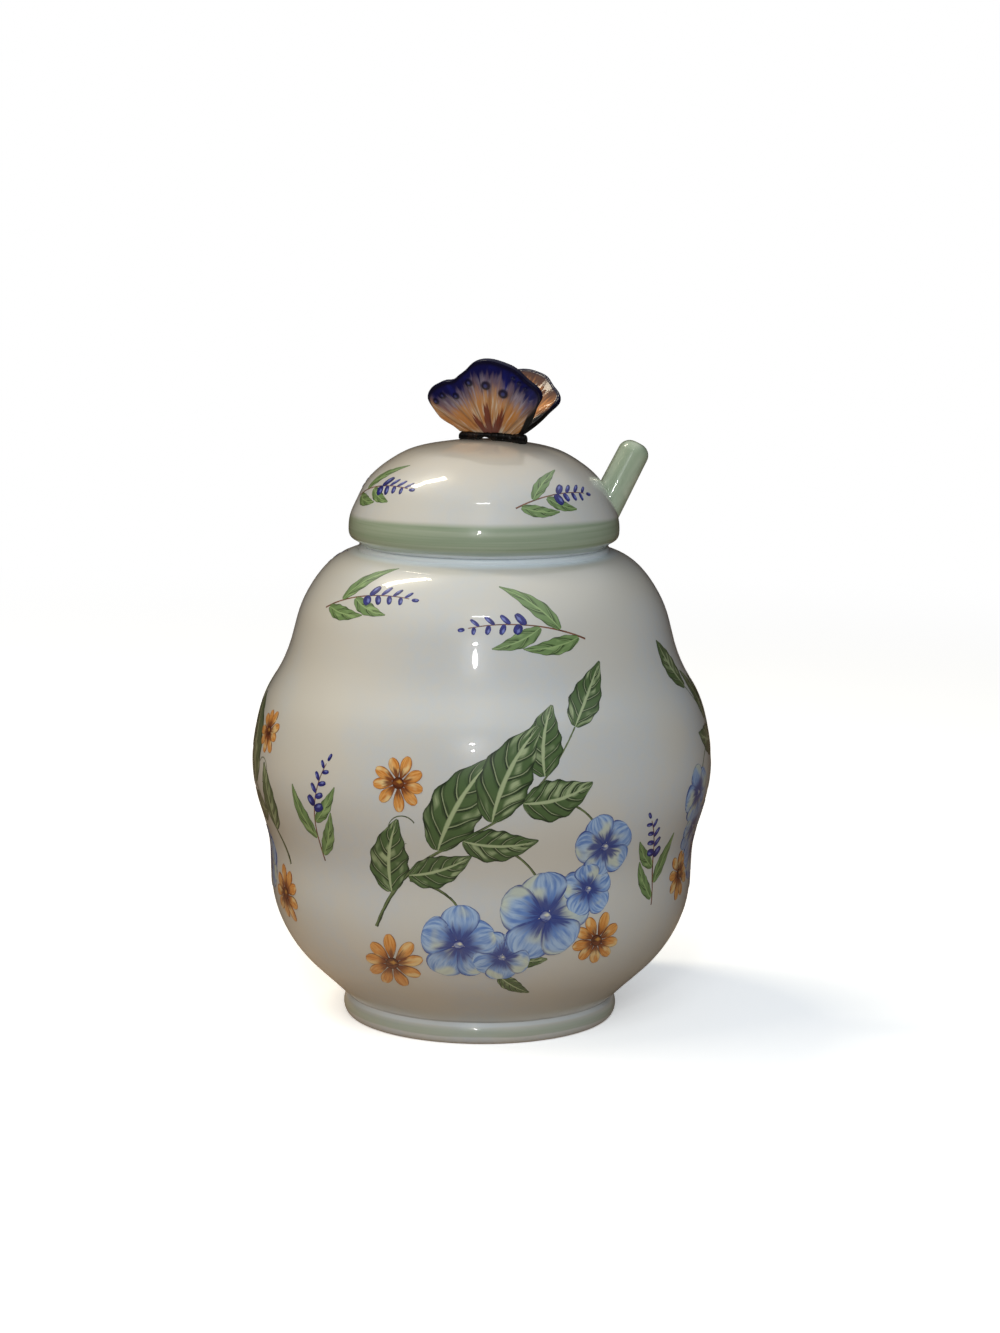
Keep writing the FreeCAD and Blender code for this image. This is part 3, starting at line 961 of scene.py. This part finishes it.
# %% Shade a leaf
def leaf_colour(finish, far, side, number, dark, middle, light, veins, slant):
    """From far along a stroke, how far to its side, and the number of the stroke."""
    out = abs(side)
    in_turn = finish.maths("GREATER_THAN", side, 0.0) * 0.5
    vein = far * veins + in_turn - out ** 1.35 * slant
    between = finish.maths("FRACT", vein + 9.0)
    streaks = finish.noise(1.0, 3.0, where=(vein * 7.0, out * 2.0, number))
    tone = finish.maths("SINE", between * math.pi) * 0.55 + streaks * 0.7
    patch = finish.noise(1.0, 1.0, where=(far * 3.0, side * 1.3, number * 3.7))
    side_vein = between.edge(0.12, 0.04) * out.edge(0.95, 0.60)
    midrib = out.edge(0.11, 0.05) * far.edge(0.97, 0.80)
    rim = out.edge(0.84, 0.97) | far.edge(0.93, 0.99)
    return finish.layered(
        dark,
        (tone.edge(0.35, 0.80), middle),
        (patch.edge(0.50, 0.68) * tone.edge(0.55, 0.95) * 0.85, light),
        ((side_vein * 0.75 | midrib) * 0.92, light),
        (rim * 0.8, dark),
    )


print("leaf: valleys, patches, veins and rim")

# %% [markdown]
# The number of a stroke shifts its noise, so that no two petals are streaked alike. Buds and the
# hearts of flowers are round: a dark rim, a mottled body and one light touch of the brush.

# %% Shade petals, buds, hearts and stems
def petal_colour(finish, far, side, number, dark, middle, light, blush, streak_count):
    streaks = finish.noise(1.0, 3.0, where=(side * streak_count, far * 1.6, number * 2.3))
    warm = finish.noise(1.0, 1.0, where=(side * 0.7, far * 1.4, number * 5.1))
    thin_line = abs(side).edge(0.80, 0.97) | far.edge(0.90, 0.985)
    broken = finish.noise(5.0, 2.0, where=(far, side, number)).edge(0.25, 0.55)
    return finish.layered(
        middle,
        (streaks.edge(0.32, 0.66), light),
        (warm.edge(0.50, 0.66) * 0.75, blush),
        ((streaks * -0.75 + far).edge(0.12, -0.22) * 0.9, dark),
        (thin_line * broken * 0.85, dark),
    )


def round_colour(finish, far, side, number, dark, middle, light):
    length = far * 2.0 - 1.0
    mottle = finish.noise(2.2, 2.0, where=(far, side, number))
    from_middle = finish.maths("SQRT", length ** 2.0 + abs(side) ** 2.0)
    off_light = abs(length - 0.15) + abs(side + 0.25)
    return finish.layered(
        middle,
        (mottle.edge(0.35, 0.70), dark),
        (from_middle.edge(0.62, 1.02), dark),
        (off_light.edge(0.55, 0.15) * 0.8, light),
    )


def stem_colour(finish, far, side, number, dark, light):
    uneven = finish.noise(1.0, 2.0, where=(far * 9.0, side, number))
    return finish.layered(dark, ((uneven - abs(side) * 0.35).edge(0.22, 0.55), light))


print("petals, buds, hearts and stems are shaded from their strokes")

# %% [markdown]
# With these in hand the paint chart is a table: how each paint is shaded, its colours from dark
# to light, and the numbers that go with them. The strokes then become meshes, one for each paint.

# %% Mix the paints
paint_chart = {
    "leaf_green": (leaf_colour, [(30, 44, 28), (78, 102, 62), (170, 184, 142)], (6.0, 1.5)),
    "leaf_light": (leaf_colour, [(52, 72, 40), (112, 140, 88), (150, 176, 118)], (3.0, 0.8)),
    "petal_blue": (
        petal_colour, [(38, 52, 128), (98, 134, 196), (166, 192, 222), (208, 214, 186)], (5.0,)),
    "petal_orange": (
        petal_colour, [(104, 44, 22), (196, 122, 50), (222, 164, 92), (230, 206, 150)], (3.2,)),
    "heart_cream": (round_colour, [(44, 58, 130), (150, 160, 190), (226, 224, 196)], ()),
    "heart_brown": (round_colour, [(70, 30, 20), (120, 64, 30), (206, 150, 70)], ()),
    "bud_blue": (round_colour, [(24, 24, 84), (44, 48, 132), (120, 132, 200)], ()),
    "stem_green": (stem_colour, [(36, 46, 30), (110, 124, 84)], ()),
    "stem_brown": (stem_colour, [(74, 44, 36), (136, 92, 70)], ()),
}
paints = {}
for name, (shaded, tints, numbers) in paint_chart.items():
    paint = Finish(name)
    along, across, _ = paint.parts(paint.add("UVMap", uv_map="stroke").outputs[0])
    far, number = paint.maths("FRACT", along), paint.maths("FLOOR", along)
    tints = [colour(*tint) for tint in tints]
    paint.coloured(shaded(paint, far, across * 2.0 - 1.0, number, *tints, *numbers))
    paint.glassy()
    paints[name] = paint
pot_painting.finish(paints)
lid_painting.finish(paints)

# %% [markdown]
# ## Sculpting the wings
# The measured wings are plain cupped shells. The real ones were modelled in a mould: rays are
# pressed in from the root, small domes stand up near the edge, and each wing thins towards its
# rim. A copy of each shell is remeshed into even small squares, and every vertex is then moved
# along its normal by a height that depends on where it is: on which ray, how far out, and on
# which face. The directions come from the shells themselves.

# %% Find a wing's own directions
wing_names = {"right": "butterfly_right_wing", "left": "butterfly_left_wing"}
insect_points = mesh_rows(nodes["butterfly_body"].data)
insect_middle = (insect_points.min(axis=0) + insect_points.max(axis=0)) / 2
insect_way = spread_axes(insect_points)[0]
insect_way = insect_way * np.sign(insect_way[0])
wing_root = np.array([insect_middle[0], insect_middle[1], insect_points[:, 2].max()])


def wing_directions(side):
    """Outward from the other wing, forward along the insect's body, and upward."""
    shell = mesh_rows(nodes[wing_names[side]].data)
    other = mesh_rows(nodes[wing_names["left" if side == "right" else "right"]].data)
    outward = spread_axes(shell)[2]
    outward = outward * np.sign(np.dot(outward, shell.mean(axis=0) - other.mean(axis=0)))
    forward = insect_way - outward * np.dot(insect_way, outward)
    forward /= np.linalg.norm(forward)
    upward = np.cross(outward, forward)
    return outward, forward, upward * np.sign(upward[2])


print("the butterfly heads", [round(float(c), 2) for c in insect_way])

# %% [markdown]
# Remeshing gives squares of a fifth of a millimetre. The reach of a point is its distance from
# the root as a share of the way to the rim in that direction, so patterns that follow reach
# follow the wing's own outline.

# %% Remesh a wing and measure its reach
square = 0.2 * mm
weld_distance = 0.001 * mm
pole_depth = 3.0 * mm
fan_slots = 90


def remeshed(node, name, rounds):
    """A copy of a solid in even squares, relaxed in that many rounds."""
    rough = put_in_scene(name + "_rough", node.data.copy())
    rough.modifiers.new("weld", "WELD").merge_threshold = weld_distance
    remesh = rough.modifiers.new("remesh", "REMESH")
    remesh.mode = "VOXEL"
    remesh.voxel_size = square
    relax = rough.modifiers.new("relax", "SMOOTH")
    relax.factor = 0.5
    relax.iterations = rounds
    bpy.context.view_layer.update()
    mesh = bpy.data.meshes.new_from_object(rough.evaluated_get(bpy.context.evaluated_depsgraph_get()))
    bpy.data.objects.remove(rough)
    mesh.name = name
    return mesh


def reach_and_turn(ahead, above):
    """How far out each point is, as a share of the way to the rim, and its direction."""
    turn = np.arctan2(above + pole_depth, ahead)
    length = np.hypot(above + pole_depth, ahead)
    slots = np.linspace(turn.min(), turn.max(), fan_slots)
    nearest = np.clip(np.searchsorted(slots, turn), 0, fan_slots - 1)
    rim = np.zeros(fan_slots)
    np.maximum.at(rim, nearest, length)
    rim = np.interp(slots, slots[rim > 0], rim[rim > 0])
    rim = np.convolve(np.pad(rim, 2, "edge"), np.ones(5) / 5, "valid")
    return length / np.interp(turn, slots, rim), turn


print("squares of", round(square / mm, 2), "mm,", fan_slots, "directions from the root")

# %% [markdown]
# Height by height, the sculpting adds up: the rim thins, the rays are pressed in and the domes
# stand up on the outer face. The same measures are kept on the mesh, because the paint needs
# them too.

# %% Sculpt the wings
rim_thinning = 0.34 * mm
ray_depth = 0.16 * mm
ray_count = 17
dome_height = 0.55 * mm
domes = [
    # forward and up from the root, and radius, in millimetres
    (0.9, 12.2, 1.15), (4.6, 10.4, 1.20), (-6.6, 9.0, 0.90), (-10.0, 8.6, 0.85), (-12.0, 6.8, 0.85),
    (-3.0, 12.6, 1.00), (8.4, 13.0, 0.40), (7.2, 14.2, 0.40), (9.6, 11.7, 0.40),
]


def smooth_step(value, low, high):
    share = np.clip((value - low) / (high - low), 0.0, 1.0)
    return share * share * (3 - 2 * share)


def sculpt(mesh, points, normals, height):
    """Moves every point along its normal by its own height."""
    mesh.vertices.foreach_set("co", (points + normals * height[:, None]).ravel())
    mesh.shade_smooth()
    mesh.update()


def sculpted_wing(side):
    outward, forward, upward = wing_directions(side)
    mesh = remeshed(nodes[wing_names[side]], side + "_wing", 4)
    points, normals = mesh_rows(mesh), mesh_rows(mesh, "normal")
    ahead = (points - wing_root) @ forward
    above = (points - wing_root) @ upward
    facing = normals @ outward
    reach, turn = reach_and_turn(ahead, above)
    ray = turn / math.pi
    face = smooth_step(np.abs(facing), 0.35, 0.85)
    sway = 0.35 * np.sin(reach * 5.0 + ray * 9.0)
    press = np.maximum(0.0, np.cos(ray * math.tau * ray_count / 2 + sway)) ** 5
    press = press * smooth_step(reach, 0.16, 0.34) * (1 - smooth_step(reach, 0.74, 0.92)) * face
    dome = np.zeros(len(points))
    for dome_ahead, dome_above, radius in domes:
        away = np.hypot(ahead - dome_ahead * mm, above - dome_above * mm) / (radius * mm)
        dome = np.maximum(dome, np.exp(-away ** 2 * 1.2) * face)
    height = dome_height * dome * (facing > 0) - ray_depth * press
    sculpt(mesh, points, normals, height - rim_thinning * smooth_step(reach, 0.45, 1.0) * face)
    outside = smooth_step(facing, -0.25, 0.25)
    for name, values in (("reach", reach), ("ray", ray), ("outside", outside), ("dome", dome),
                         ("pressed", press)):
        mesh.attributes.new(name, "FLOAT", "POINT").data.foreach_set("value", values.astype(np.float32))
    wing = put_in_scene(mesh.name, mesh)
    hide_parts(wing_names[side])
    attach(wing, "lid")
    return wing


wings = [sculpted_wing(side) for side in wing_names]
print([(wing.name, len(wing.data.vertices)) for wing in wings])

# %% [markdown]
# The body between the wings is a plain turned form with blunt ends. The copy is relaxed until the
# ends are round, and shallow rings are pressed round it, closer together towards the tail.

# %% Sculpt the butterfly's body
ring_pitch = 1.7 * mm
ring_depth = 0.13 * mm
ring_crowding = 0.05
fullness = 0.06 * mm

insect_mesh = remeshed(nodes["butterfly_body"], "insect", 12)
points = mesh_rows(insect_mesh)
along = (points - insect_middle) @ insect_way
ring_turn = math.tau * along / ring_pitch + ring_crowding * (along / mm) ** 2
rings = np.maximum(0.0, np.cos(ring_turn)) ** 4
sculpt(insect_mesh, points, mesh_rows(insect_mesh, "normal"), fullness - ring_depth * rings)
insect = put_in_scene("insect", insect_mesh)
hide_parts("butterfly_body")
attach(insect, "lid")
print("insect of", len(insect_mesh.vertices), "points")

# %% [markdown]
# ## Painting the butterfly
# The outer faces are navy along the top and run through violet and tan to cream at the root,
# stroke by stroke along the rays, with three dark red rays at the root and navy domes whose tops
# are painted paler, a painted highlight. The inner faces are gold and brown. The front edges and
# the body are near-black. The streaks are a noise that is stretched from root to rim by feeding it
# ray and reach as its coordinates.

# %% Mark out the wing
wing_paint = Finish("wing_paint")
reach, ray, outside, dome, pressed = [
    Tone(wing_paint, wing_paint.add("Attribute", attribute_name=name).outputs["Fac"])
    for name in ("reach", "ray", "outside", "dome", "pressed")
]


def ray_streaks(across, along, seed, detail=3.0):
    """Streaks from root to rim. The seed picks their pattern."""
    return wing_paint.noise(1.0, detail, where=(ray * across, reach * along, seed))


fine_streaks = ray_streaks(75.0, 3.2, 1.0)
broad_streaks = ray_streaks(24.0, 1.6, 4.0, 2.0)
dark_streaks = ray_streaks(46.0, 2.0, 8.0)
ragged_reach = reach + ((fine_streaks + broad_streaks) * 0.34 - 0.34)
upper_part = ray.edge(0.19, 0.27) * ray.edge(0.83, 0.76)
root_part = ray.edge(0.32, 0.35) * ray.edge(0.68, 0.65)
root_rays = wing_paint.maths("COSINE", ray * (math.tau * 8.0))
red_reach = ragged_reach + root_rays * -0.14
front_edge = reach.edge(0.74, 0.80) * ray.edge(0.25, 0.21)
print("wing marks: streaks, ragged reach, upper part, root rays and front edge")

# %% [markdown]
# Each coat goes on where its mark says, first on the outer and the inner face and then over both.
# What is pressed in stays darker, because paint gathers there.

# %% Paint the wings
navy = colour(15, 17, 72)
bright_navy = colour(28, 34, 112)
dark_navy = colour(12, 12, 40)
# painted highlight: a paler blue for the tops of the domes
dome_painted_highlight_blue = colour(84, 92, 158)
violet = colour(98, 84, 104)
pale_violet = colour(150, 140, 152)
tan = colour(182, 142, 104)
orange = colour(184, 122, 64)
cream = colour(206, 192, 172)
rust = colour(104, 38, 28)
gold = colour(216, 146, 84)
umber = colour(66, 42, 38)
ink = colour(10, 9, 9)
thin_brown = colour(52, 38, 30)
wing_gloss = {"roughness": 0.45, "coat_roughness": 0.03, "coat": 0.38, "shine": 0.05}

outer = wing_paint.layered(
    tan,
    (broad_streaks.edge(0.35, 0.65), orange),
    (fine_streaks.edge(0.50, 0.72), cream),
    (ragged_reach.edge(0.34, 0.20), cream),
    (ragged_reach.edge(0.56, 0.74) * upper_part,
     wing_paint.layered(violet, (fine_streaks.edge(0.38, 0.66), pale_violet))),
    (dark_streaks.edge(0.40, 0.28) * 0.6, umber),
    (ragged_reach.edge(0.73, 0.86) * upper_part,
     wing_paint.layered(navy, (broad_streaks.edge(0.40, 0.72), bright_navy))),
    (red_reach.edge(0.41, 0.35) * root_part * 0.9, rust),
)
inner = wing_paint.layered(
    umber,
    (broad_streaks.edge(0.26, 0.52), gold),
    (fine_streaks.edge(0.54, 0.76) * 0.6, tan),
    (ragged_reach.edge(0.70, 0.90) * ray.edge(0.20, 0.30) * 0.95, umber),
)
wing_paint.coloured(
    inner,
    (outside, outer),
    (dome.edge(0.16, 0.55) * outside * 0.92, dark_navy),
    # painted highlight: the top of each dome is lighter
    (dome.edge(0.74, 0.98) * outside * 0.45, dome_painted_highlight_blue),
    (pressed * 0.35, umber),
    (reach.edge(0.93, 0.98), dark_navy),
    (front_edge, ink),
)
wing_paint.relief(fine_streaks, 0.12 * mm, 0.08)
wing_paint.glassy(**wing_gloss)
for wing in wings:
    dress(wing, wing_paint)

black_glaze = Finish("black_butterfly_glaze")
black_glaze.coloured(ink, (black_glaze.noise(380.0, 3.0).edge(0.52, 0.78), thin_brown))
black_glaze.relief(black_glaze.noise(900.0, 2.0), 0.12 * mm, 0.4)
black_glaze.glassy(**wing_gloss)
dress(insect, black_glaze)
print("butterfly painted")
